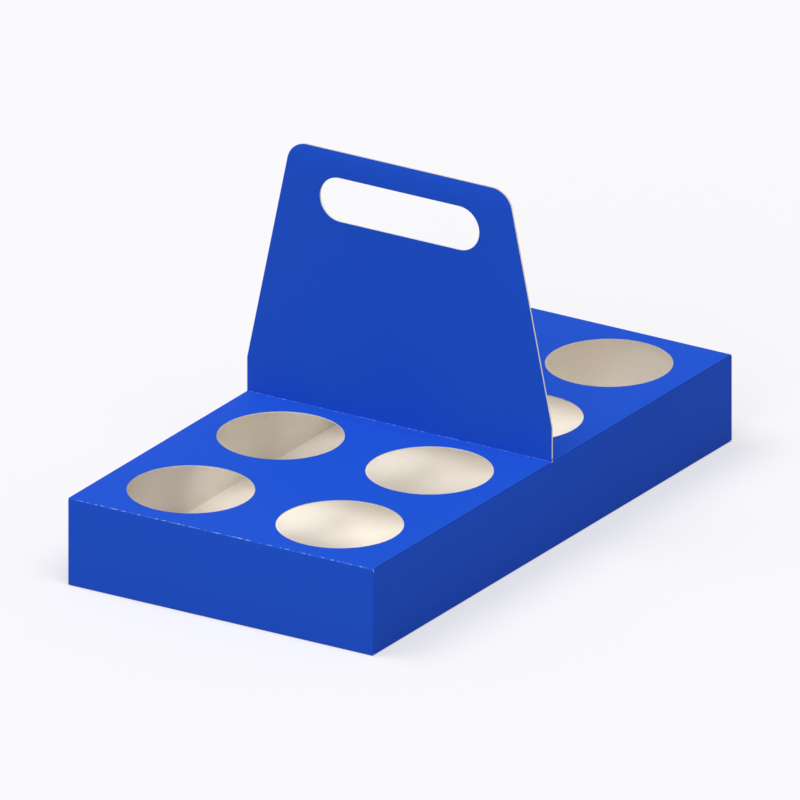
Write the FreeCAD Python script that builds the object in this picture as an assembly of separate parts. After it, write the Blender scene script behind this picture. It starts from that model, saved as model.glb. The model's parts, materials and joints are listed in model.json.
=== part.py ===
import FreeCAD, Part
import math
import os

from FreeCAD import Vector

# A cup carrier folded and glued from one sheet of solid board. A long strip wraps the box: it is
# the front leaf of the handle, the front half of the top, the front wall, the bottom, the back
# wall, the back half of the top and the back leaf of the handle. The two side walls fold up from
# the long edges of the bottom and hold on by glued tabs inside the strip.
# Millimetres. X is across, Y runs from the front to the back, Z is up, and the origin is the
# centre of the bottom.

# Outside of the folded box
body_width = 229.0
body_length = 432.0
body_height = 60.0

# The sheet, its creases and its glue
board = 0.65
crease_radius = 0.5
glue_thickness = 0.15
glue_setback = 3.0

# Cup holes
hole_diameter = 82.0
holes_across = 2
holes_along = 4
side_margin = 17.5

# Handle, measured up from the top of the box
handle_height = 179.0
shoulder_height = 23.5
handle_top_width = 163.5
handle_corner_radius = 15.0
slot_length = 120.0
slot_height = 30.0
grip_band = 18.0

# Glued tabs, and how far the side walls' creases stop short of the corners
tab_to_hole = 3.5
end_tab_length = 25.0
tab_taper = 6.0
corner_relief = 2.0

# How far a cutting shape runs past what it cuts
overrun = 5.0

# Worked out from the sizes above
half_width = body_width / 2
half_length = body_length / 2
half_glue = glue_thickness / 2
bend = crease_radius + board
leaf_face = half_glue + board
handle_top = body_height + handle_height
hole_radius = hole_diameter / 2
pitch_along = body_length / holes_along
pitch_across = (body_width - 2 * side_margin - hole_diameter) / (holes_across - 1)
tab_top = body_height - board - glue_thickness
tab_front = half_length - board - glue_thickness
top_tab_width = side_margin - tab_to_hole
wall_low = corner_relief
wall_high = tab_top - corner_relief
wall_end = half_length - corner_relief
slot_middle = handle_top - grip_band - slot_height / 2

# Planes to draw in: an outline's two directions end up along X and Y, Y and Z, or X and Z
PLAN = (Vector(0, 0, 1), 0)
FROM_THE_SIDE = (Vector(1, 1, 1), 120)
FROM_THE_FRONT = (Vector(1, 0, 0), 90)


def corner_arc(before, corner, after, radius):
    """Start, middle and end of the arc that rounds a corner between two straight runs."""
    into = (corner - before).normalize()
    away = (after - corner).normalize()
    turn = into.getAngle(away)
    reach = radius * math.tan(turn / 2)
    inward = (away - into).normalize()
    middle = corner + inward * (radius / math.cos(turn / 2) - radius)
    return corner - into * reach, middle, corner + away * reach


def path_edges(points, radii):
    """Straight runs joined by tangent arcs, with one radius for each inner corner."""
    edges = []
    here = points[0]
    for before, corner, after, radius in zip(points, points[1:], points[2:], radii):
        start, middle, end = corner_arc(before, corner, after, radius)
        edges.append(Part.LineSegment(here, start).toShape())
        edges.append(Part.Arc(start, middle, end).toShape())
        here = end
    edges.append(Part.LineSegment(here, points[-1]).toShape())
    return edges


def left_of(start, end):
    """Unit vector to the left of a run."""
    run = (end - start).normalize()
    return Vector(-run.y, run.x, 0)


def moved_left(points, distance):
    """The corners of a path that keeps this distance to the left of another."""
    normals = [left_of(a, b) for a, b in zip(points, points[1:])]
    moved = [points[0] + normals[0] * distance]
    for point, before, after in zip(points[1:], normals, normals[1:]):
        moved.append(point + (before + after) * (distance / (1 + before.dot(after))))
    return moved + [points[-1] + normals[-1] * distance]


def sheet_section(outside):
    """Outline of the sheet seen edge on. The outside face has its other face to its left."""
    inside = moved_left(outside, board)
    outer_radii = []
    inner_radii = []
    for before, corner, after in zip(outside, outside[1:], outside[2:]):
        left_turn = left_of(before, corner).dot(after - corner) > 0
        outer_radii.append(bend if left_turn else crease_radius)
        inner_radii.append(crease_radius if left_turn else bend)
    edges = path_edges(outside, outer_radii) + path_edges(inside, inner_radii)
    edges.append(Part.LineSegment(outside[0], inside[0]).toShape())
    edges.append(Part.LineSegment(outside[-1], inside[-1]).toShape())
    return Part.Wire(Part.__sortEdges__(edges))


def prism(outline, depth, plane):
    """A solid of one outline, centred on the plane that it is drawn in."""
    solid = Part.Face(outline).extrude(Vector(0, 0, depth))
    solid.translate(Vector(0, 0, -depth / 2))
    axis, angle = plane
    solid.rotate(Vector(), axis, angle)
    return solid


def block(low, high):
    """A box between two corners."""
    size = high - low
    return Part.makeBox(size.x, size.y, size.z, low)


def both_sides(shape, across):
    """A shape and its mirror image in a plane through the origin."""
    return [shape, shape.mirror(Vector(), across)]


def silhouette():
    """The carrier seen from the front: the box, and the handle that leans in above its shoulders."""
    half_top = handle_top_width / 2
    shoulder = body_height + shoulder_height
    points = [
        Vector(half_width, shoulder),
        Vector(half_top, handle_top),
        Vector(-half_top, handle_top),
        Vector(-half_width, shoulder),
    ]
    edges = path_edges(points, [handle_corner_radius, handle_corner_radius])
    base = [
        Vector(-half_width, shoulder),
        Vector(-half_width, 0),
        Vector(half_width, 0),
        Vector(half_width, shoulder),
    ]
    edges += [Part.LineSegment(a, b).toShape() for a, b in zip(base, base[1:])]
    return Part.Wire(edges)


def slot_outline(grown):
    """The hand slot, with round ends, larger all round by what is asked."""
    radius = slot_height / 2 + grown
    reach = slot_length / 2 - slot_height / 2
    low = slot_middle - radius
    high = slot_middle + radius
    edges = [
        Part.LineSegment(Vector(-reach, low), Vector(reach, low)).toShape(),
        Part.Arc(
            Vector(reach, low), Vector(reach + radius, slot_middle), Vector(reach, high)
        ).toShape(),
        Part.LineSegment(Vector(reach, high), Vector(-reach, high)).toShape(),
        Part.Arc(
            Vector(-reach, high), Vector(-reach - radius, slot_middle), Vector(-reach, low)
        ).toShape(),
    ]
    return Part.Wire(edges)


def wrapped_strip():
    """The long strip round the box and up both leaves of the handle, cut to its outline."""
    outside = [
        Vector(-leaf_face, handle_top),
        Vector(-leaf_face, body_height),
        Vector(-half_length, body_height),
        Vector(-half_length, 0),
        Vector(half_length, 0),
        Vector(half_length, body_height),
        Vector(leaf_face, body_height),
        Vector(leaf_face, handle_top),
    ]
    strip = prism(sheet_section(outside), body_width, FROM_THE_SIDE)
    strip = strip.common(prism(silhouette(), body_length + overrun, FROM_THE_FRONT))
    return strip.cut([prism(slot_outline(0), body_length, FROM_THE_FRONT)] + cup_holes())


def cup_holes():
    """Round cutters through the top, one hole in the middle of each quarter of the length."""
    low = body_height - board - crease_radius
    cutters = []
    for column in range(holes_across):
        x = (column - (holes_across - 1) / 2) * pitch_across
        for row in range(holes_along):
            y = (row - (holes_along - 1) / 2) * pitch_along
            cutters.append(Part.makeCylinder(hole_radius, overrun, Vector(x, y, low)))
    return cutters


def bottom_edge_trims():
    """What the bottom gives up along its long edges to the bends of the side walls."""
    reach = half_length - bend
    low = Vector(half_width - bend, -reach, -overrun)
    high = Vector(half_width + overrun, reach, bend)
    return both_sides(block(low, high), Vector(1, 0, 0))


def tab_outline(width, low, high):
    """Outline of a tab and the bend that it hangs on, with tapered ends on its free edge."""
    root = half_width - bend
    tip = half_width - width
    points = [
        Vector(half_width, low),
        Vector(half_width, high),
        Vector(root, high),
        Vector(tip, high - tab_taper),
        Vector(tip, low + tab_taper),
        Vector(root, low),
        Vector(half_width, low),
    ]
    return Part.makePolygon(points)


def side_wall():
    """The right side wall with the bend from the bottom, its tab under the top and its end tabs."""
    section = sheet_section(
        [
            Vector(half_width - 2 * bend, 0),
            Vector(half_width, 0),
            Vector(half_width, tab_top),
            Vector(half_width - top_tab_width, tab_top),
        ]
    )
    upright = prism(section, 2 * wall_end, FROM_THE_FRONT)
    upright = upright.common(
        prism(tab_outline(top_tab_width, -wall_end, wall_end), 2 * handle_top, PLAN)
    )
    round_the_ends = sheet_section(
        [
            Vector(half_width - end_tab_length, -tab_front),
            Vector(half_width, -tab_front),
            Vector(half_width, tab_front),
            Vector(half_width - end_tab_length, tab_front),
        ]
    )
    ends = prism(round_the_ends, 2 * handle_top, PLAN)
    ends = ends.common(
        prism(tab_outline(end_tab_length, wall_low, wall_high), 2 * body_length, FROM_THE_FRONT)
    )
    return upright.fuse(ends)


def handle_glue():
    """The glue between the two leaves, set back from the handle's edges and from the slot."""
    patch = prism(silhouette().makeOffset2D(-glue_setback), glue_thickness, FROM_THE_FRONT)
    below = block(
        Vector(-body_width, -body_length, -overrun),
        Vector(body_width, body_length, body_height + bend + glue_setback),
    )
    return patch.cut([below, prism(slot_outline(glue_setback), overrun, FROM_THE_FRONT)])


def top_tab_glue():
    """The glue on the right top tab, one line for each half of the top."""
    width = top_tab_width / 2
    low = Vector(
        half_width - (top_tab_width + width) / 2,
        half_glue + bend + glue_setback,
        tab_top,
    )
    high = Vector(
        low.x + width,
        wall_end - tab_taper - glue_setback,
        tab_top + glue_thickness,
    )
    return both_sides(block(low, high), Vector(0, 1, 0))


def end_tab_glue():
    """The glue between the right end tabs and the front and back walls."""
    width = end_tab_length / 2
    low = Vector(
        half_width - (end_tab_length + width) / 2,
        tab_front,
        wall_low + tab_taper,
    )
    high = Vector(low.x + width, tab_front + glue_thickness, wall_high - tab_taper)
    return both_sides(block(low, high), Vector(0, 1, 0))


def folded_carrier():
    """The whole carrier: one sheet, folded up and glued."""
    strip = wrapped_strip().cut(bottom_edge_trims())
    pieces = [handle_glue()]
    for shape in [side_wall()] + top_tab_glue() + end_tab_glue():
        pieces += both_sides(shape, Vector(1, 0, 0))
    return strip.fuse(pieces).removeSplitter()


def main():
    """Build the carrier and write it."""
    os.makedirs("parts", exist_ok=True)
    carrier = folded_carrier()
    solids = carrier.Solids
    box = carrier.BoundBox
    print("solids", len(solids), "valid", carrier.isValid(), "faces", len(carrier.Faces))
    print("size", round(box.XLength, 3), round(box.YLength, 3), round(box.ZLength, 3))
    print("volume in cubic centimetres", round(carrier.Volume / 1000, 1))
    solids[0].exportStep("parts/folded_carrier.step")


main()
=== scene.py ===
"""A cup carrier folded from one printed sheet of solid board, standing in a plain pale studio."""

import json
import logging
import math
from collections.abc import Iterable
from dataclasses import dataclass
from enum import Enum, IntEnum
from typing import Any

import bmesh
import bpy
from bmesh.types import BMEdge, BMFace, BMVert
from mathutils import Matrix, Vector


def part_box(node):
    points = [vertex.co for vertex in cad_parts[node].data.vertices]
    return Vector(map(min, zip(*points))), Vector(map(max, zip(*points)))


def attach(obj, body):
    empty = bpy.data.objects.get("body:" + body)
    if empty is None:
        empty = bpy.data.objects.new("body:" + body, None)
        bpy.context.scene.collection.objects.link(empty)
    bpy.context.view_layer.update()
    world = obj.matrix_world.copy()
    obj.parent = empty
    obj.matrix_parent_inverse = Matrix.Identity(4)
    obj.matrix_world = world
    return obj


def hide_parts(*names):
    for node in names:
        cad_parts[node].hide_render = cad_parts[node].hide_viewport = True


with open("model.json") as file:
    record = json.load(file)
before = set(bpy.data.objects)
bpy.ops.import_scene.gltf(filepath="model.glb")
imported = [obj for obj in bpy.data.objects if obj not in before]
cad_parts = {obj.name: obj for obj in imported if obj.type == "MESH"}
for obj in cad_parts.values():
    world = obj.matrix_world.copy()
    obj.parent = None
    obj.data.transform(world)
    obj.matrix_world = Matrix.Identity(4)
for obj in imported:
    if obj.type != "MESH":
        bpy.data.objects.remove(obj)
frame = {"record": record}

LOG = logging.getLogger("cup_carrier")
CAD_NODE = "folded_carrier"
MM = 0.001
SIDES = (-1, 1)
SAME_PLACE = 1e-6

Colour = tuple[float, float, float, float]
Factors = tuple[float, float, float]


class Surface(IntEnum):
    """The board's three kinds of surface, numbered as the sheet's material slots are."""

    PRINTED = 0
    BARE = 1
    CUT = 2


class Axis(Enum):
    """The three directions that a crease may run in."""

    X = (1.0, 0.0, 0.0)
    Y = (0.0, 1.0, 0.0)
    Z = (0.0, 0.0, 1.0)


class Wear(Enum):
    """How far a crease's print may crack: a rubbed one cracks, and the others stay whole."""

    RUBBED = 1.0
    SHELTERED = 0.85


class Signal:
    """A shader socket that can be added, subtracted and multiplied like a number."""

    def __init__(self, graph: "ShaderGraph", socket: bpy.types.NodeSocket) -> None:
        """Keep the graph that the socket belongs to.

        Args:
            graph: the graph that adds the nodes of an expression.
            socket: the output that gives the value.
        """
        self.graph = graph
        self.socket = socket

    def _math(self, operation: str, first: Any, second: Any) -> "Signal":
        """Add one Math node.

        Args:
            operation: the node's operation.
            first: its first value or signal.
            second: its second value or signal.

        Returns:
            The node's result.
        """
        return self.graph.node("ShaderNodeMath", {"operation": operation}, {0: first, 1: second})

    def __add__(self, other: Any) -> "Signal":
        """Sum of this and a number or signal."""
        return self._math("ADD", self, other)

    def __radd__(self, other: Any) -> "Signal":
        """Sum of a number and this."""
        return self._math("ADD", other, self)

    def __sub__(self, other: Any) -> "Signal":
        """This less a number or signal."""
        return self._math("SUBTRACT", self, other)

    def __rsub__(self, other: Any) -> "Signal":
        """A number less this."""
        return self._math("SUBTRACT", other, self)

    def __mul__(self, other: Any) -> "Signal":
        """Product of this and a number or signal."""
        return self._math("MULTIPLY", self, other)

    def __rmul__(self, other: Any) -> "Signal":
        """Product of a number and this."""
        return self._math("MULTIPLY", other, self)


class ShaderGraph:
    """The node tree of one material or of the world."""

    def __init__(self, tree: bpy.types.NodeTree) -> None:
        """Start from an empty tree.

        Args:
            tree: the tree to fill.
        """
        self.tree = tree
        tree.nodes.clear()

    def node(
        self,
        kind: str,
        settings: dict[str, Any] | None = None,
        inputs: dict[int | str, Any] | None = None,
        output: int | str = 0,
    ) -> Signal:
        """Add any node.

        Args:
            kind: the node's type.
            settings: its properties, set before its sockets.
            inputs: values or signals for its sockets, by name or number.
            output: the output to read, by name or number.

        Returns:
            That output.
        """
        made = self.tree.nodes.new(kind)
        for name, value in (settings or {}).items():
            setattr(made, name, value)
        for key, value in (inputs or {}).items():
            socket = self._shown(made.inputs, key)
            if isinstance(value, Signal):
                self.tree.links.new(value.socket, socket)
            else:
                socket.default_value = value
        return Signal(self, self._shown(made.outputs, output))

    @staticmethod
    def _shown(sockets: Iterable[bpy.types.NodeSocket], key: int | str) -> bpy.types.NodeSocket:
        """Find a socket among those that the node's settings show.

        Args:
            sockets: all of the node's sockets.
            key: the socket's name, or its number among the shown ones.

        Returns:
            The socket.
        """
        shown = [socket for socket in sockets if socket.enabled]
        if isinstance(key, int):
            return shown[key]
        return next(socket for socket in shown if socket.name == key)

    def finish(self, shader: Signal, kind: str = "ShaderNodeOutputMaterial") -> None:
        """Lead a shader to the tree's output.

        Args:
            shader: the shader to show.
            kind: the type of the output node.
        """
        self.tree.links.new(shader.socket, self.tree.nodes.new(kind).inputs["Surface"])

    def places(self, stretch: Factors = (1.0, 1.0, 1.0)) -> Signal:
        """Points of the object, stretched along its axes.

        Args:
            stretch: the factor for each axis.

        Returns:
            The points, in metres times the factors.
        """
        found = self.node("ShaderNodeTexCoord", output="Object")
        return self.node("ShaderNodeMapping", inputs={"Vector": found, "Scale": stretch})

    def noise(self, places: Signal, scale: float, detail: float = 2.0) -> Signal:
        """Soft random pattern from about 0 to 1.

        Args:
            places: where to read it.
            scale: its repeats for each metre.
            detail: its octaves.

        Returns:
            The pattern.
        """
        inputs = {"Vector": places, "Scale": scale, "Detail": detail, "Roughness": 0.5}
        return self.node("ShaderNodeTexNoise", {"noise_dimensions": "3D"}, inputs)

    def rise(self, value: Signal, low: float, high: float) -> Signal:
        """Smooth step from 0 to 1.

        Args:
            value: what to read.
            low: the value at which it leaves 0.
            high: the value at which it reaches 1.

        Returns:
            The step.
        """
        inputs = {"Value": value, "From Min": low, "From Max": high}
        return self.node("ShaderNodeMapRange", {"interpolation_type": "SMOOTHSTEP"}, inputs)

    def beyond(self, axis: str, distance: float, blur: float) -> Signal:
        """Whether a point lies further out than a distance, on either side of the middle.

        Args:
            axis: the direction, X, Y or Z.
            distance: where the step from 0 begins.
            blur: how far on the step reaches 1.

        Returns:
            The step.
        """
        along = self.node("ShaderNodeSeparateXYZ", inputs={"Vector": self.places()}, output=axis)
        return self.rise(along * along, distance**2, (distance + blur) ** 2)

    def attribute(self, name: str) -> Signal:
        """One of the mesh's own float attributes.

        Args:
            name: the attribute's name.

        Returns:
            Its value.
        """
        return self.node("ShaderNodeAttribute", {"attribute_name": name}, output="Fac")

    def blend(self, share: Any, first: Any, second: Any) -> Signal:
        """Mix of two colours.

        Args:
            share: how much of the second shows, from 0 to 1.
            first: the first colour.
            second: the second colour.

        Returns:
            The mixed colour.
        """
        settings = {"data_type": "RGBA", "clamp_factor": True}
        inputs = {"Factor": share, "A": first, "B": second}
        return self.node("ShaderNodeMix", settings, inputs)

    def shade(self, colour: Signal, amount: Signal) -> Signal:
        """A colour made lighter or darker by a factor around 1.

        Args:
            colour: the colour.
            amount: the factor.

        Returns:
            The changed colour.
        """
        inputs = {0: colour, "Scale": amount}
        return self.node("ShaderNodeVectorMath", {"operation": "SCALE"}, inputs)

    def bump(
        self, height: Signal, strength: float, distance: float, under: Signal | None = None
    ) -> Signal:
        """Normals of a relief.

        Args:
            height: the relief, from 0 to 1.
            strength: how much of it shows.
            distance: its height in metres.
            under: the normals that it lies on, where they aren't the surface's own.

        Returns:
            The normals.
        """
        inputs = {"Height": height, "Strength": strength, "Distance": distance}
        if under is not None:
            inputs["Normal"] = under
        return self.node("ShaderNodeBump", inputs=inputs)


def colour(red: float, green: float, blue: float) -> Colour:
    """An opaque colour from linear red, green and blue."""
    return (red, green, blue, 1.0)


def empty_material(name: str) -> tuple[bpy.types.Material, ShaderGraph]:
    """Make a material with nothing in it.

    Args:
        name: its name.

    Returns:
        The material and its graph.
    """
    material = bpy.data.materials.new(name)
    material.use_nodes = True
    return material, ShaderGraph(material.node_tree)


def placed(name: str, data: bpy.types.ID) -> bpy.types.Object:
    """Put a mesh, a lamp or a camera into the scene.

    Args:
        name: the object's name.
        data: what the object is.

    Returns:
        The object, at the origin.
    """
    made = bpy.data.objects.new(name, data)
    bpy.context.scene.collection.objects.link(made)
    return made


@dataclass(frozen=True, kw_only=True)
class BoardFinish:
    """One surface of the board: its colour, its unevenness and its relief."""

    name: str
    base: Colour
    roughness: float
    specular: float
    cloud: float
    grain: float
    relief: float
    cloud_scale: float = 14.0
    speckle_scale: float = 900.0
    fibre_scale: float = 420.0
    fibre_run: Factors = (3.0, 0.6, 0.6)
    fibre_height: float = 0.12 * MM
    wave_scale: float = 11.0
    wave_height: float = 0.5 * MM

    def _uneven(self, graph: ShaderGraph, tint: Signal) -> tuple[Signal, Signal]:
        """Cloud and grain a colour, and find the height of the fibres.

        Args:
            graph: the graph to add to.
            tint: the even colour.

        Returns:
            The uneven colour, and the fibres' height.
        """
        places = graph.places()
        fibres = graph.noise(graph.places(self.fibre_run), self.fibre_scale, detail=3.0)
        cloud = graph.noise(places, self.cloud_scale)
        speckle = graph.noise(places, self.speckle_scale, detail=1.0)
        amount = 1.0 + self.cloud * (cloud - 0.5) + self.grain * (fibres + speckle - 1.0)
        return graph.shade(tint, amount), fibres

    def _surface(
        self, graph: ShaderGraph, tint: Signal, height: Signal, roughness: Any
    ) -> Signal:
        """The board's shader.

        Args:
            graph: the graph to add to.
            tint: its colour.
            height: its fine relief.
            roughness: a number or signal.

        Returns:
            The shader.
        """
        waves = graph.noise(graph.places(), self.wave_scale, detail=1.0)
        fibres = graph.bump(height, self.relief, self.fibre_height)
        inputs = {
            "Base Color": tint,
            "Roughness": roughness,
            "Specular IOR Level": self.specular,
            "Normal": graph.bump(waves, 1.0, self.wave_height, under=fibres),
        }
        return graph.node("ShaderNodeBsdfPrincipled", inputs=inputs)


@dataclass(frozen=True, kw_only=True)
class PrintedFinish(BoardFinish):
    """The flat colour printed on the outside, cracked pale along the creases."""

    pale: Colour
    crack_scale: float = 350.0
    crack_spread: float = 0.35
    crack_from: float = 0.97
    crack_full: float = 1.02
    crack_share: float = 0.7
    crack_roughness: float = 0.15
    rub_scale: float = 30.0
    rub_roughness: float = 0.08

    def material(self) -> bpy.types.Material:
        """Make the material.

        Returns:
            The material.
        """
        material, graph = empty_material(self.name)
        broken = graph.noise(graph.places(), self.crack_scale, detail=1.0)
        bent = graph.attribute("crease") + self.crack_spread * (broken - 0.5)
        cracked = graph.rise(bent, self.crack_from, self.crack_full)
        tint = graph.blend(self.crack_share * cracked, self.base, self.pale)
        tint, fibres = self._uneven(graph, tint)
        rubbed = graph.noise(graph.places(), self.rub_scale, detail=3.0)
        roughness = self.roughness + self.rub_roughness * (rubbed - 0.5)
        roughness = roughness + self.crack_roughness * cracked
        graph.finish(self._surface(graph, tint, fibres, roughness))
        return material


@dataclass(frozen=True, kw_only=True)
class BareFinish(BoardFinish):
    """An unprinted surface, flecked with fibres, with ink on the short walls' outer margins."""

    fleck: Colour
    fleck_scale: float = 700.0
    fleck_run: Factors = (1.0, 0.35, 0.35)
    fleck_from: float = 0.70
    fleck_full: float = 0.80
    fleck_share: float = 0.5
    margin_ink: Colour
    margin_side: float
    margin_side_blur: float = 0.3 * MM
    margin_end: float = 215.2 * MM
    margin_end_blur: float = 0.1 * MM

    def material(self) -> bpy.types.Material:
        """Make the material.

        Returns:
            The material.
        """
        material, graph = empty_material(self.name)
        threads = graph.noise(graph.places(self.fleck_run), self.fleck_scale)
        flecks = graph.rise(threads, self.fleck_from, self.fleck_full)
        side = graph.beyond("X", self.margin_side, self.margin_side_blur)
        margin = side * graph.beyond("Y", self.margin_end, self.margin_end_blur)
        board = graph.blend(self.fleck_share * flecks, self.base, self.fleck)
        tint, fibres = self._uneven(graph, graph.blend(margin, board, self.margin_ink))
        graph.finish(self._surface(graph, tint, fibres, self.roughness))
        return material


@dataclass(frozen=True, kw_only=True)
class CutFinish(BoardFinish):
    """The die-cut edge: bare, inked on the box's corners, and darkened with painted shade on top of
    the handle, where more light falls.
    """

    ink: Colour
    core_from: float = 0.10
    core_full: float = 0.35
    tear_scale: float = 1500.0
    tear_spread: float = 0.3
    corner_side: float
    corner_side_blur: float = 1.0 * MM
    corner_top: float = 61.0 * MM
    corner_top_blur: float = 2.0 * MM
    fold_from: float = 0.2
    fold_full: float = 0.6
    # Painted shade: from this height up, the handle's top cut edge takes a darker colour, because it
    # faces the light more than the sides do.
    top_shade: Colour
    top_shade_from: float = 224.0 * MM
    top_shade_blur: float = 15.0 * MM

    def material(self) -> bpy.types.Material:
        """Make the material.

        Returns:
            The material.
        """
        material, graph = empty_material(self.name)
        torn = graph.noise(graph.places(), self.tear_scale)
        depth = graph.attribute("depth") + self.tear_spread * (torn - 0.5)
        core = graph.rise(depth, self.core_from, self.core_full)
        side = graph.beyond("X", self.corner_side, self.corner_side_blur)
        handle = graph.beyond("Z", self.corner_top, self.corner_top_blur)
        folded = graph.rise(graph.attribute("crease"), self.fold_from, self.fold_full)
        corner = side * (1.0 - handle) * (1.0 - folded)
        # Painted shade: darker towards the top of the handle's cut edge, where more light falls.
        shaded_top = graph.beyond("Z", self.top_shade_from, self.top_shade_blur)
        board = graph.blend(shaded_top, self.base, self.top_shade)
        cut = graph.blend(core * (1.0 - corner), self.ink, board)
        tint, fibres = self._uneven(graph, cut)
        graph.finish(self._surface(graph, tint, fibres, self.roughness))
        return material


INK = colour(0.0114, 0.0741, 0.516)
CREAM = colour(0.955, 0.893, 0.795)
INKED_SIDE = 113.2 * MM

PRINTED = PrintedFinish(
    name="printed_outside",
    base=INK,
    roughness=0.62,
    specular=0.035,
    cloud=0.05,
    grain=0.04,
    relief=0.10,
    pale=colour(0.54, 0.54, 0.375),
)
BARE = BareFinish(
    name="bare_inside",
    base=CREAM,
    roughness=0.85,
    specular=0.20,
    cloud=0.04,
    grain=0.06,
    relief=0.22,
    fleck=colour(0.66, 0.55, 0.42),
    margin_ink=INK,
    margin_side=INKED_SIDE,
)
GLUE = BareFinish(
    name="dried_glue",
    base=colour(0.72, 0.64, 0.50),
    roughness=0.40,
    specular=0.40,
    cloud=0.15,
    grain=0.06,
    relief=0.30,
    fleck=colour(0.85, 0.80, 0.70),
    margin_ink=INK,
    margin_side=INKED_SIDE,
)
CUT = CutFinish(
    name="cut_edge",
    base=colour(0.73, 0.72, 0.585),
    roughness=0.9,
    specular=0.15,
    cloud=0.04,
    grain=0.12,
    relief=0.30,
    ink=INK,
    corner_side=INKED_SIDE,
    # Painted shade for the handle's top cut edge.
    top_shade=colour(0.54, 0.47, 0.34),
)


@dataclass(frozen=True)
class HandSlot:
    """The round-ended slot in the handle."""

    middle: float
    half_length: float
    half_height: float


@dataclass(frozen=True)
class LeafOutline:
    """The handle from the front: upright shoulders, leaning sides and a round-cornered top."""

    half_width: float
    shoulder: float
    half_top: float
    top: float
    corner: float

    @property
    def lean(self) -> float:
        """How far the sides lean in from upright, in radians."""
        return math.atan2(self.half_width - self.half_top, self.top - self.shoulder)

    def inset(self, by: float) -> "LeafOutline":
        """The outline moved in by the same distance all round.

        Args:
            by: the distance.

        Returns:
            The smaller outline.
        """
        return LeafOutline(
            half_width=self.half_width - by,
            shoulder=self.shoulder - by * math.tan(self.lean / 2),
            half_top=self.half_top - by * math.cos(self.lean) / (1 + math.sin(self.lean)),
            top=self.top - by,
            corner=self.corner - by,
        )


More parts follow.
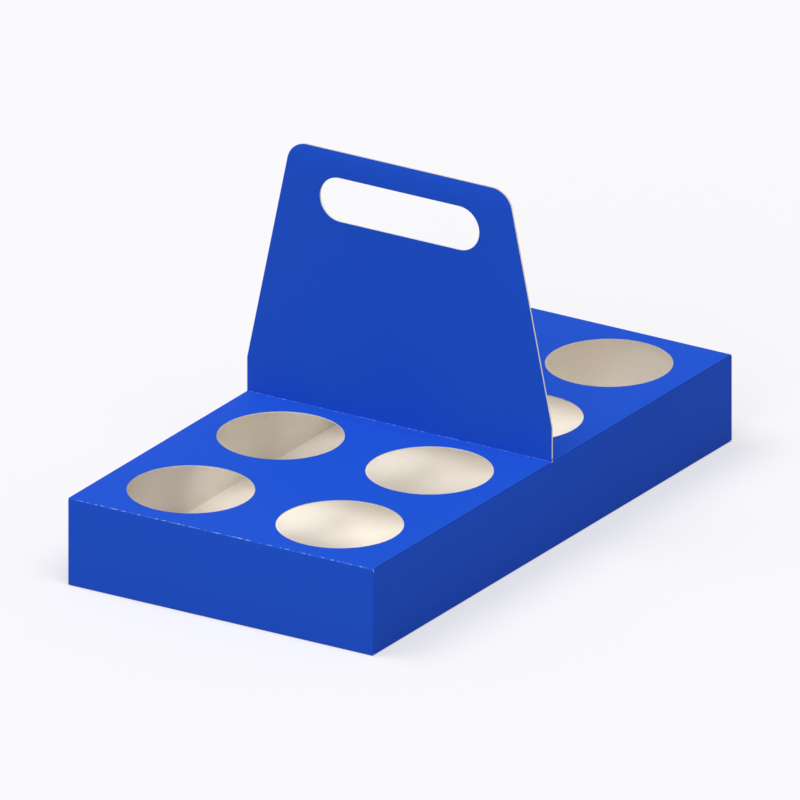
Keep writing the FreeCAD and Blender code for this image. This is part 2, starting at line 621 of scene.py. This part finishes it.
class BoardDrawing:
    """A mesh in which flat panels are outlined, filled and carried on."""

    arc_steps = 20
    hole_steps = 80

    def __init__(self) -> None:
        """Start with nothing drawn."""
        self.mesh = bmesh.new()

    def line(self, start: Vector, end: Vector) -> list[BMEdge]:
        """Draw a straight edge between two places."""
        return [self.mesh.edges.new([self.mesh.verts.new(place) for place in (start, end)])]

    @staticmethod
    def ends_of(row: list[BMEdge]) -> tuple[BMVert, BMVert]:
        """The left and right ends of a row that runs across the carrier."""
        verts = sorted({vert for edge in row for vert in edge.verts}, key=lambda v: v.co.x)
        return verts[0], verts[-1]

    def trace(self, vert: BMVert, travel: Vector) -> tuple[BMVert, list[BMEdge]]:
        """Draw a straight edge from a point.

        Args:
            vert: the point.
            travel: how far to go.

        Returns:
            The edge's end, and the edge.
        """
        made = bmesh.ops.extrude_vert_indiv(self.mesh, verts=[vert])
        bmesh.ops.translate(self.mesh, vec=travel, verts=made["verts"])
        return made["verts"][0], made["edges"]

    def trace_arc(
        self, vert: BMVert, centre: Vector, degrees: float
    ) -> tuple[BMVert, list[BMEdge]]:
        """Draw an upright arc from a point, in the plane of the handle.

        Args:
            vert: the point.
            centre: the arc's centre.
            degrees: the turn about Y, by the right-hand rule.

        Returns:
            The arc's end, and its edges.
        """
        before = set(self.mesh.edges)
        turned = bmesh.ops.spin(
            self.mesh,
            geom=[vert],
            cent=centre,
            axis=Axis.Y.value,
            angle=math.radians(degrees),
            steps=self.arc_steps,
        )
        end = next(item for item in turned["geom_last"] if isinstance(item, BMVert))
        return end, list(set(self.mesh.edges) - before)

    def cup_loop(self, middle: Vector, radius: float) -> list[BMEdge]:
        """Draw a circle that lies flat.

        Args:
            middle: its middle.
            radius: its radius.

        Returns:
            Its edges.
        """
        place = Matrix.Translation(middle)
        made = bmesh.ops.create_circle(
            self.mesh, segments=self.hole_steps, radius=radius, matrix=place
        )
        return list({edge for vert in made["verts"] for edge in vert.link_edges})

    def slot_loop(self, slot: HandSlot, face: float, grown: float) -> list[BMEdge]:
        """Draw the hand slot's outline.

        Args:
            slot: the slot.
            face: where it lies along the carrier.
            grown: how much larger it is all round.

        Returns:
            Its edges.
        """
        reach = slot.half_length - slot.half_height
        right = Vector((reach, face, slot.middle))
        left = Vector((-reach, face, slot.middle))
        start = self.mesh.verts.new(right - Vector((0, 0, slot.half_height + grown)))
        here, right_arc = self.trace_arc(start, right, -180)
        here, upper = self.trace(here, left - right)
        here, left_arc = self.trace_arc(here, left, -180)
        return [*right_arc, *upper, *left_arc, self.mesh.edges.new((here, start))]

    def band(self, inner: list[BMEdge], outer: list[BMEdge]) -> list[BMEdge]:
        """Lay a narrow band of board round an opening.

        Args:
            inner: the opening's edge.
            outer: the loop round it, with as many points.

        Returns:
            The outer loop.
        """
        bmesh.ops.bridge_loops(self.mesh, edges=inner + outer)
        return outer

    def fill(self, edges: list[BMEdge], holes: list[list[BMEdge]]) -> list[BMFace]:
        """Fill a flat panel round its openings.

        Args:
            edges: the panel's outline.
            holes: the loops that stay empty.

        Returns:
            The new faces.
        """
        outline = edges + [edge for hole in holes for edge in hole]
        made = bmesh.ops.triangle_fill(self.mesh, edges=outline, use_beauty=True)
        return [item for item in made["geom"] if isinstance(item, BMFace)]

    def panel(
        self, row: list[BMEdge], travel: Vector, holes: list[list[BMEdge]]
    ) -> list[BMEdge]:
        """Lay a panel with openings.

        Args:
            row: the row that it starts from.
            travel: how far it runs.
            holes: the loops that stay empty.

        Returns:
            The row that it ends at.
        """
        traced = [self.trace(vert, travel) for vert in self.ends_of(row)]
        last = self.mesh.edges.new([vert for vert, _ in traced])
        self.fill([*row, *traced[0][1], *traced[1][1], last], holes)
        return [last]

    def leaf(
        self, row: list[BMEdge], outline: LeafOutline, slot: list[BMEdge]
    ) -> list[BMFace]:
        """Lay one layer of the handle.

        Args:
            row: its straight lower edge.
            outline: its shape.
            slot: the loop that stays empty.

        Returns:
            Its faces.
        """
        turn = math.pi / 2 - outline.lean
        reach = outline.corner * math.tan(turn / 2)
        slope = Vector((outline.half_top - outline.half_width, 0, outline.top - outline.shoulder))
        slope *= 1 - reach / slope.length
        edges = list(row)
        far = []
        for side, vert in zip(SIDES, self.ends_of(row)):
            steps = (
                Vector((0, 0, outline.shoulder - vert.co.z)),
                Vector((side * slope.x, 0, slope.z)),
            )
            for step in steps:
                vert, made = self.trace(vert, step)
                edges += made
            x = side * (outline.half_top - reach)
            centre = Vector((x, vert.co.y, outline.top - outline.corner))
            vert, made = self.trace_arc(vert, centre, -side * math.degrees(turn))
            edges += made
            far.append(vert)
        edges.append(self.mesh.edges.new(far))
        return self.fill(edges, [slot])

    def block(self, low: Vector, high: Vector) -> None:
        """Make a box between two corners."""
        place = Matrix.LocRotScale((low + high) / 2, None, high - low)
        bmesh.ops.create_cube(self.mesh, size=1.0, matrix=place)

    def finished(self, name: str, materials: list[bpy.types.Material]) -> bpy.types.Object:
        """Turn the drawing into an object at the origin.

        Args:
            name: the object's name.
            materials: its materials.

        Returns:
            The object.
        """
        data = bpy.data.meshes.new(name)
        self.mesh.to_mesh(data)
        self.mesh.free()
        for material in materials:
            data.materials.append(material)
        return placed(name, data)


@dataclass
class FoldedSheet:
    """The carrier's one sheet, folded up from the bottom: a strip round the box, and two sides."""

    half_width: float
    half_length: float
    height: float
    handle_top: float
    board: float
    cup_holes: list[tuple[Vector, float]]
    slot_middle: float
    crease_radius: float = 0.5 * MM
    glue: float = 0.15 * MM
    corner_stop: float = 2.0 * MM
    shoulder: float = 23.5 * MM
    handle_half_top: float = 81.75 * MM
    handle_corner: float = 15.0 * MM
    slot_half_length: float = 60.0 * MM
    slot_half_height: float = 15.0 * MM
    top_tab: float = 14.0 * MM
    end_tab: float = 25.0 * MM
    taper: float = 6.0 * MM
    band_width: float = 2.0 * MM
    edge_round: float = 0.14 * MM
    edge_steps: int = 2
    fold_steps: int = 8

    def __post_init__(self) -> None:
        """Work out the fold lines from the sizes."""
        self.bend = self.crease_radius + self.board
        self.root = self.half_width - self.bend
        self.fold_start = self.half_length - self.bend
        self.leaf_face = self.glue / 2 + self.board
        self.tab_top = self.height - self.board - self.glue
        self.tab_front = self.half_length - self.board - self.glue
        self.wall_end = self.half_length - self.corner_stop
        self.slot = HandSlot(self.slot_middle, self.slot_half_length, self.slot_half_height)
        self.leaf = LeafOutline(
            half_width=self.half_width,
            shoulder=self.height + self.shoulder,
            half_top=self.handle_half_top,
            top=self.handle_top,
            corner=self.handle_corner,
        )

    def build(self) -> bpy.types.Object:
        """Fold the sheet and give it its thickness.

        Returns:
            The finished sheet.
        """
        self.drawing = BoardDrawing()
        self.mesh = self.drawing.mesh
        self.crease = self.mesh.verts.layers.float.new("crease")
        ends, sides = self._bottom()
        for side, row in zip(SIDES, ends):
            self._strip_half(row, side)
        for side, row in zip(SIDES, sides):
            self._side_wall(row, side)
        bmesh.ops.remove_doubles(self.mesh, verts=self.mesh.verts, dist=SAME_PLACE)
        self._turn_outwards()
        return self._thickened()

    def _extend(self, row: Iterable[BMEdge], travel: Vector) -> list[BMEdge]:
        """Carry a row of edges on, with board between.

        Args:
            row: the edges to carry on from.
            travel: how far the new row lies from them.

        Returns:
            The new row.
        """
        made = bmesh.ops.extrude_edge_only(self.mesh, edges=list(row))["geom"]
        verts = {item for item in made if isinstance(item, BMVert)}
        bmesh.ops.translate(self.mesh, vec=travel, verts=list(verts))
        return [e for e in made if isinstance(e, BMEdge) and set(e.verts) <= verts]

    def _fold(
        self,
        row: Iterable[BMEdge],
        centre: Vector,
        axis: Axis,
        degrees: float,
        wear: Wear = Wear.SHELTERED,
    ) -> list[BMEdge]:
        """Bend the sheet round a crease, and mark how near each point is to its middle.

        Args:
            row: the edges that the bend starts from.
            centre: a point on the bend's axis.
            axis: the direction of the crease.
            degrees: the turn, by the right-hand rule.
            wear: whether the crease is rubbed in use.

        Returns:
            The row at the bend's end.
        """
        before = set(self.mesh.verts)
        along = Vector(axis.value)
        start = self._arm(next(iter(row)).verts[0], centre, along)
        turned = bmesh.ops.spin(
            self.mesh,
            geom=list(row),
            cent=centre,
            axis=along,
            angle=math.radians(degrees),
            steps=self.fold_steps,
        )
        for vert in set(self.mesh.verts) - before:
            share = start.angle(self._arm(vert, centre, along)) / math.radians(abs(degrees))
            vert[self.crease] = wear.value * math.sin(math.pi * min(share, 1.0))
        return [item for item in turned["geom_last"] if isinstance(item, BMEdge)]

    @staticmethod
    def _arm(vert: BMVert, centre: Vector, along: Vector) -> Vector:
        """The way from a bend's axis to a point, straight out from the axis."""
        arm = vert.co - centre
        return arm - along * arm.dot(along)

    def _bottom(self) -> tuple[list[list[BMEdge]], list[list[BMEdge]]]:
        """Lay the bottom panel.

        Returns:
            The rows at its front and back, and those at its left and right.
        """
        corner = self.fold_start - self.wall_end
        left, right = (Vector((side * self.root, -self.fold_start, 0)) for side in SIDES)
        first = self.drawing.line(left, right)
        row = self._extend(first, Vector((0, corner, 0)))
        row = self._extend(row, Vector((0, 2 * self.wall_end, 0)))
        panel = row[0].link_faces[0]
        sides = [
            [edge for edge in panel.edges if all(v.co.x * side > 0 for v in edge.verts)]
            for side in SIDES
        ]
        last = self._extend(row, Vector((0, corner, 0)))
        return [self._widened(first), self._widened(last)], sides

    def _widened(self, row: list[BMEdge]) -> list[BMEdge]:
        """Carry a row out at both ends, from the bottom's width to the strip's."""
        wings = [
            self.drawing.trace(vert, Vector((side * self.bend, 0, 0)))[1]
            for side, vert in zip(SIDES, self.drawing.ends_of(row))
        ]
        return [*row, *wings[0], *wings[1]]

    def _strip_half(self, row: list[BMEdge], side: int) -> None:
        """Fold up one short wall, half of the top and one leaf of the handle.

        Args:
            row: the bottom's edge at that end.
            side: -1 for the front half and 1 for the back half.
        """
        outward = side * self.fold_start
        row = self._fold(row, Vector((0, outward, self.bend)), Axis.X, side * 90)
        row = self._extend(row, Vector((0, 0, self.height - 2 * self.bend)))
        edge = Vector((0, outward, self.height - self.bend))
        row = self._fold(row, edge, Axis.X, side * 90, Wear.RUBBED)
        holes = [
            self.drawing.band(
                self.drawing.cup_loop(middle, radius),
                self.drawing.cup_loop(middle, radius + self.band_width),
            )
            for middle, radius in self.cup_holes
            if middle.y * side > 0
        ]
        foot = self.leaf_face + self.crease_radius
        row = self.drawing.panel(row, Vector((0, side * (foot - self.fold_start), 0)), holes)
        centre = Vector((0, side * foot, self.height + self.crease_radius))
        row = self._fold(row, centre, Axis.X, -side * 90, Wear.RUBBED)
        face = side * self.leaf_face
        slot = self.drawing.band(
            self.drawing.slot_loop(self.slot, face, 0.0),
            self.drawing.slot_loop(self.slot, face, self.band_width),
        )
        self.drawing.leaf(row, self.leaf, slot)

    def _side_wall(self, row: list[BMEdge], side: int) -> None:
        """Fold up one long wall, with its tab under the top and its two end tabs.

        Args:
            row: the bottom's long edge.
            side: -1 for the left wall and 1 for the right wall.
        """
        inward = side * self.root
        to_tabs = self.corner_stop - self.bend
        row = self._fold(row, Vector((inward, 0, self.bend)), Axis.Y, -side * 90)
        row = self._extend(row, Vector((0, 0, to_tabs)))
        row = self._extend(row, Vector((0, 0, self.tab_top - 2 * self.corner_stop)))
        wall = row[0].link_faces[0]
        for end in SIDES:
            edge = [e for e in wall.edges if all(v.co.y * end > 0 for v in e.verts)]
            self._end_tab(edge, side, end)
        row = self._extend(row, Vector((0, 0, to_tabs)))
        centre = Vector((inward, 0, self.tab_top - self.bend))
        row = self._fold(row, centre, Axis.Y, -side * 90)
        self._tab(row, Vector((-side * (self.top_tab - self.bend), 0, 0)), Axis.Y)

    def _end_tab(self, row: list[BMEdge], side: int, end: int) -> None:
        """Fold one end of a long wall in behind a short wall.

        Args:
            row: the long wall's upright edge.
            side: -1 for the left wall and 1 for the right wall.
            end: -1 for the front and 1 for the back.
        """
        start = self.tab_front - self.bend
        row = self._extend(row, Vector((0, end * (start - self.wall_end), 0)))
        centre = Vector((side * self.root, end * start, 0))
        row = self._fold(row, centre, Axis.Z, side * end * 90)
        self._tab(row, Vector((-side * (self.end_tab - self.bend), 0, 0)), Axis.Z)

    def _tab(self, row: list[BMEdge], travel: Vector, along: Axis) -> None:
        """Lay a glue tab with tapered ends.

        Args:
            row: the row at the end of its bend.
            travel: how far it reaches.
            along: the direction of its crease.
        """
        row = self._extend(row, travel)
        direction = Vector(along.value)
        verts = sorted({v for edge in row for v in edge.verts}, key=lambda v: v.co.dot(direction))
        for vert, inset in ((verts[0], self.taper), (verts[-1], -self.taper)):
            bmesh.ops.translate(self.mesh, vec=direction * inset, verts=[vert])

    def _turn_outwards(self) -> None:
        """Turn every face's printed side out, with the bottom's facing down."""
        bmesh.ops.recalc_face_normals(self.mesh, faces=self.mesh.faces)
        self.mesh.normal_update()
        lowest = min(self.mesh.faces, key=lambda face: face.calc_center_median().z)
        if lowest.normal.z > 0:
            bmesh.ops.reverse_faces(self.mesh, faces=self.mesh.faces)

    def _thickened(self) -> bpy.types.Object:
        """Give the sheet its thickness, and round the printed edges that the die drew down.

        Returns:
            The sheet, at the origin.
        """
        finishes = (PRINTED, BARE, CUT)
        sheet = self.drawing.finished("folded_sheet", [each.material() for each in finishes])
        outline = sheet.data
        shell = sheet.modifiers.new("board", "SOLIDIFY")
        shell.thickness = self.board
        shell.offset = -1
        shell.use_even_offset = True
        shell.use_quality_normals = True
        shell.material_offset = Surface.BARE
        shell.material_offset_rim = Surface.CUT
        shown = sheet.evaluated_get(bpy.context.evaluated_depsgraph_get())
        sheet.data = bpy.data.meshes.new_from_object(shown)
        sheet.modifiers.clear()
        board = bmesh.new()
        board.from_mesh(sheet.data)
        self._finish_edges(board, len(outline.vertices))
        board.to_mesh(sheet.data)
        board.free()
        bpy.data.meshes.remove(outline)
        sheet.data.name = sheet.name
        return sheet

    def _finish_edges(self, board: bmesh.types.BMesh, outer_count: int) -> None:
        """Mark how deep each point lies in the board, and round the printed cut edges.

        Args:
            board: the thickened sheet.
            outer_count: how many of its points, the first ones, are on the printed side.
        """
        depth = board.verts.layers.float.new("depth")
        crease = board.verts.layers.float["crease"]
        board.verts.ensure_lookup_table()
        for index, vert in enumerate(board.verts):
            vert[depth] = float(index >= outer_count)
        for face in board.faces:
            bent = any(vert[crease] > 0 for vert in face.verts)
            face.smooth = bent and face.material_index != Surface.CUT
        edges = [
            edge
            for edge in board.edges
            if {face.material_index for face in edge.link_faces}
            == {Surface.PRINTED.value, Surface.CUT.value}
        ]
        bmesh.ops.bevel(
            board,
            geom=edges,
            offset=self.edge_round,
            offset_type="OFFSET",
            affect="EDGES",
            segments=self.edge_steps,
            profile=0.5,
            material=-1,
        )


@dataclass(frozen=True)
class GlueLines:
    """The dried glue that holds the folded sheet: a film in the handle, and a line on each tab."""

    sheet: FoldedSheet
    setback: float = 3.0 * MM
    line_share: float = 0.5

    def build(self) -> bpy.types.Object:
        """Lay the glue.

        Returns:
            The glue, at the origin.
        """
        drawing = BoardDrawing()
        self._handle_film(drawing)
        turns = [Vector((across, along, 1)) for across in SIDES for along in SIDES]
        for low, high in self._tab_lines():
            for turn in turns:
                drawing.block(*self._mirrored(low, high, turn))
        bmesh.ops.recalc_face_normals(drawing.mesh, faces=drawing.mesh.faces)
        return drawing.finished("glue_lines", [GLUE.material()])

    def _handle_film(self, drawing: BoardDrawing) -> None:
        """Lay the film between the handle's two leaves, set back from every edge."""
        sheet = self.sheet
        outline = sheet.leaf.inset(self.setback)
        face = -sheet.glue / 2
        foot = sheet.height + sheet.bend + self.setback
        left, right = (Vector((side * outline.half_width, face, foot)) for side in SIDES)
        slot = drawing.slot_loop(sheet.slot, face, self.setback)
        faces = drawing.leaf(drawing.line(left, right), outline, slot)
        made = bmesh.ops.extrude_face_region(drawing.mesh, geom=faces, use_keep_orig=True)
        verts = [item for item in made["geom"] if isinstance(item, BMVert)]
        bmesh.ops.translate(drawing.mesh, vec=Vector((0, sheet.glue, 0)), verts=verts)

    def _tab_lines(self) -> list[tuple[Vector, Vector]]:
        """The lines on the right top tab's back half and on the right back end tab.

        Returns:
            Each line's low and high corners.
        """
        sheet = self.sheet
        top_start, top_width = self._across(sheet.top_tab)
        foot = sheet.leaf_face + sheet.crease_radius + self.setback
        reach = sheet.wall_end - sheet.taper - self.setback - foot
        top_low = Vector((top_start, foot, sheet.tab_top))
        top_size = Vector((top_width, reach, sheet.glue))
        end_start, end_width = self._across(sheet.end_tab)
        lowest = sheet.corner_stop + sheet.taper
        end_low = Vector((end_start, sheet.tab_front, lowest))
        end_size = Vector((end_width, sheet.glue, sheet.tab_top - 2 * lowest))
        return [(top_low, top_low + top_size), (end_low, end_low + end_size)]

    def _across(self, tab: float) -> tuple[float, float]:
        """Where the line on a right tab starts across the carrier, and the line's width."""
        width = tab * self.line_share
        return self.sheet.half_width - (tab + width) / 2, width

    @staticmethod
    def _mirrored(low: Vector, high: Vector, turn: Vector) -> tuple[Vector, Vector]:
        """A box's low and high corners after it is mirrored.

        Args:
            low: its low corner.
            high: its high corner.
            turn: -1 for each direction to mirror in, and 1 for the rest.

        Returns:
            The new low and high corners.
        """
        first, second = low * turn, high * turn
        pairs = list(zip(first, second))
        return Vector([min(pair) for pair in pairs]), Vector([max(pair) for pair in pairs])


@dataclass(frozen=True)
class Lamp:
    """A far lamp: where it hangs, its share of a level surface's light, and its width in degrees."""

    name: str
    towards: Factors
    level: float
    softness: float


@dataclass(frozen=True)
class Studio:
    """A pale floor and sky, three steady soft lamps and the photograph's camera."""

    pale: Colour = colour(0.956, 0.947, 0.973)
    paint: Colour = colour(0.796, 0.774, 0.769)
    bounce: Colour = colour(0.67, 0.52, 0.47)
    cool: Colour = colour(0.90, 0.98, 1.12)
    ambient: float = 0.24
    brightness: float = 1.23
    lamps: tuple[Lamp, ...] = (
        Lamp("left_lamp", (-0.50, -0.22, 1.0), 0.30, 36.0),
        Lamp("right_lamp", (0.42, -0.22, 1.0), 0.34, 36.0),
        Lamp("front_lamp", (0.32, -1.85, 1.0), 0.12, 40.0),
    )
    floor_size: float = 12.0
    floor_gap: float = 0.05 * MM
    glow: float = 0.45
    target_height: float = 0.07785
    azimuth: float = 32.0
    elevation: float = 22.0
    view_width: float = 0.5101
    distance: float = 3.0

    def build(self) -> None:
        """Make the floor, the light and the camera."""
        self._floor()
        self._sky()
        for lamp in self.lamps:
            self._hang(lamp)
        self._camera()

    @staticmethod
    def _seen(graph: ShaderGraph) -> Signal:
        """Whether a ray comes from the camera, or by way of a gloss or a clear part.

        Args:
            graph: the graph to add to.

        Returns:
            1 where it does, and 0 elsewhere.
        """
        camera, gloss, clear = (
            graph.node("ShaderNodeLightPath", output=f"Is {kind} Ray")
            for kind in ("Camera", "Glossy", "Transmission")
        )
        return camera + gloss + clear

    def _floor(self) -> None:
        """Lay the floor. From below it is clear, so that the carrier's bottom can be looked at."""
        shape = bmesh.new()
        bmesh.ops.create_grid(shape, x_segments=1, y_segments=1, size=self.floor_size / 2)
        bmesh.ops.translate(shape, vec=Vector((0, 0, -self.floor_gap)), verts=shape.verts)
        data = bpy.data.meshes.new("floor")
        shape.to_mesh(data)
        shape.free()
        material, graph = empty_material("pale_floor")
        data.materials.append(material)
        seen = self._seen(graph)
        tint = graph.blend(seen, self.bounce, self.paint)
        length = graph.node("ShaderNodeLightPath", output="Ray Length")
        near = graph.node("ShaderNodeMath", {"operation": "LESS_THAN"}, {0: length, 1: MM})
        below = graph.node("ShaderNodeNewGeometry", output="Backfacing")
        solid = (1.0 - below) * (1.0 - near)
        clear = graph.node("ShaderNodeBsdfTransparent")
        paint = graph.node("ShaderNodeBsdfDiffuse", inputs={"Color": tint})
        even = graph.node("ShaderNodeEmission", inputs={"Color": self.pale, "Strength": 1.0})
        soft = graph.node("ShaderNodeMixShader", inputs={0: self.glow * seen, 1: paint, 2: even})
        graph.finish(graph.node("ShaderNodeMixShader", inputs={0: solid, 1: clear, 2: soft}))
        placed("floor", data)

    def _sky(self) -> None:
        """Make the world pale where it is seen and even where it lights."""
        world = bpy.data.worlds.new("studio_sky")
        bpy.context.scene.world = world
        world.use_nodes = True
        graph = ShaderGraph(world.node_tree)
        kind = "ShaderNodeBackground"
        strength = self.ambient * self.brightness
        light = graph.node(kind, inputs={"Color": self.cool, "Strength": strength})
        seen = graph.node(kind, inputs={"Color": self.pale, "Strength": 1.0})
        inputs = {0: self._seen(graph), 1: light, 2: seen}
        graph.finish(graph.node("ShaderNodeMixShader", inputs=inputs), "ShaderNodeOutputWorld")

    def _hang(self, lamp: Lamp) -> None:
        """Hang a lamp.

        Args:
            lamp: the lamp.
        """
        towards = Vector(lamp.towards).normalized()
        data = bpy.data.lights.new(lamp.name, "SUN")
        data.energy = math.pi * self.brightness * lamp.level / towards.z
        data.angle = math.radians(lamp.softness)
        hung = placed(lamp.name, data)
        hung.rotation_mode = "QUATERNION"
        hung.rotation_quaternion = towards.to_track_quat("Z", "Y")
        hung.location = towards * self.distance

    def _camera(self) -> None:
        """Set the camera at the photograph's angle, with its parallel view."""
        around = math.radians(self.azimuth)
        above = math.radians(self.elevation)
        back = Vector(
            (
                math.sin(around) * math.cos(above),
                -math.cos(around) * math.cos(above),
                math.sin(above),
            )
        )
        data = bpy.data.cameras.new("camera")
        data.type = "ORTHO"
        data.ortho_scale = self.view_width
        camera = placed("camera", data)
        camera.rotation_mode = "QUATERNION"
        camera.rotation_quaternion = (-back).to_track_quat("-Z", "Y")
        camera.location = Vector((0, 0, self.target_height)) + back * self.distance
        bpy.context.scene.camera = camera


def measured_sheet() -> FoldedSheet:
    """Read the carrier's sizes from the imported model.

    Returns:
        The sheet, ready to fold.
    """
    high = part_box(CAD_NODE)[1]
    mounts = {mount["name"]: mount for mount in frame["record"]["mounts"]}
    holes = [mount for name, mount in mounts.items() if name.startswith("cup_hole")]
    return FoldedSheet(
        half_width=high.x,
        half_length=high.y,
        height=holes[0]["pos_m"][2],
        handle_top=high.z,
        board=holes[0]["dims"]["length_mm"] * MM,
        cup_holes=[(Vector(hole["pos_m"]), hole["dims"]["r_mm"] * MM) for hole in holes],
        slot_middle=mounts["hand_slot"]["pos_m"][2],
    )


def main() -> None:
    """Build the carrier and the studio round it."""
    logging.basicConfig(level=logging.INFO, format="%(name)s: %(message)s")
    bpy.context.scene.view_settings.view_transform = "Standard"
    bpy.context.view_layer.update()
    folding = measured_sheet()
    sheet = folding.build()
    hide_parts(CAD_NODE)
    for piece in (sheet, GlueLines(folding).build()):
        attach(piece, "root")
        LOG.info("%s: %d faces", piece.name, len(piece.data.polygons))
    Studio().build()


if __name__ == "__main__":
    main()
